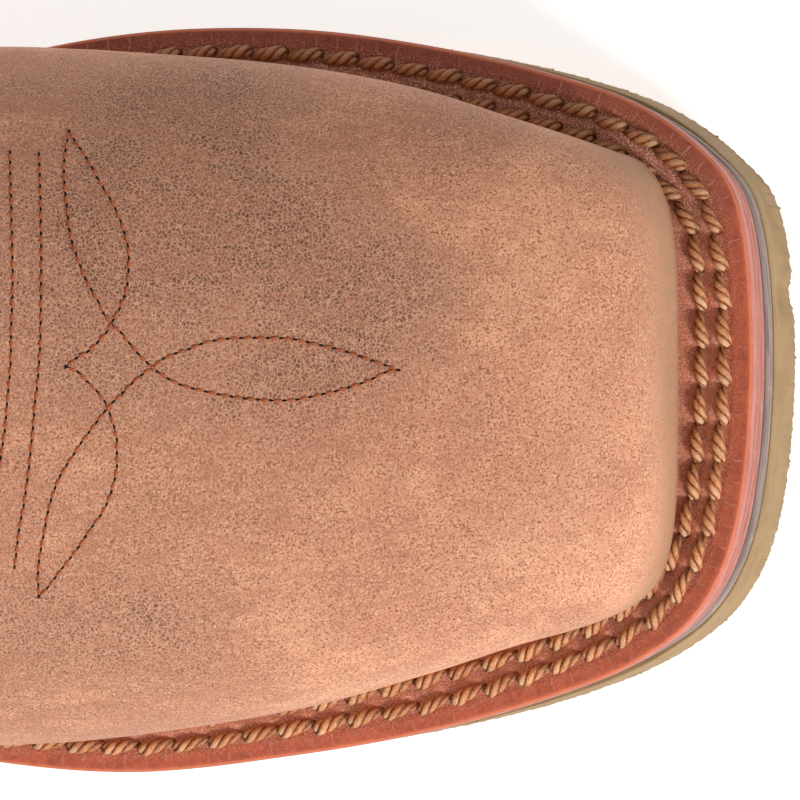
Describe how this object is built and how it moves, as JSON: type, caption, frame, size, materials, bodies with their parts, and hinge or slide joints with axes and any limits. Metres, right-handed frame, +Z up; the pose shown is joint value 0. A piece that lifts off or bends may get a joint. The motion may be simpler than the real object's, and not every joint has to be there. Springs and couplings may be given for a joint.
{
  "type": "western work boot",
  "caption": "Pull-on leather work boot for the right foot with a broad square toe, a welted layered sole, a lugged outsole and a stacked heel.",
  "frame": {"origin": "on the floor, below the middle of the whole boot's bounding box", "axes": "+X runs to the toe, +Y to the boot's inner (medial) side, +Z up the shaft"},
  "size_m": [0.3098, 0.1156, 0.3345],
  "materials": {
    "upper_leather": "oiled nubuck, rosy tan with grey-brown mottling and a fine pale crackle, rust-brown stitching",
    "trim_leather": "the same leather, smooth at its folded edges",
    "insole_leather": "plain undyed leather, matt",
    "welt_leather": "waxed reddish brown, semi-gloss, with caramel rope stitching",
    "midsole_rubber": "pink, in fine layers, satin",
    "foam": "grey-brown foam, matt",
    "outsole_rubber": "tan crepe-coloured rubber, matt, rough at the lower rim",
    "heel_leather": "stacked lifts, brown, satin"
  },
  "bodies": {
    "root": {"upper": "upper_leather", "counter": "upper_leather", "piping_inner": "trim_leather", "piping_outer": "trim_leather", "collar_binding": "trim_leather", "pull_strap_inner": "trim_leather", "pull_strap_outer": "trim_leather", "insole": "insole_leather", "welt": "welt_leather", "midsole": "midsole_rubber", "foam_layer": "foam", "outsole": "outsole_rubber", "heel": "heel_leather", "top_lift": "outsole_rubber"}
  },
  "joints": []
}
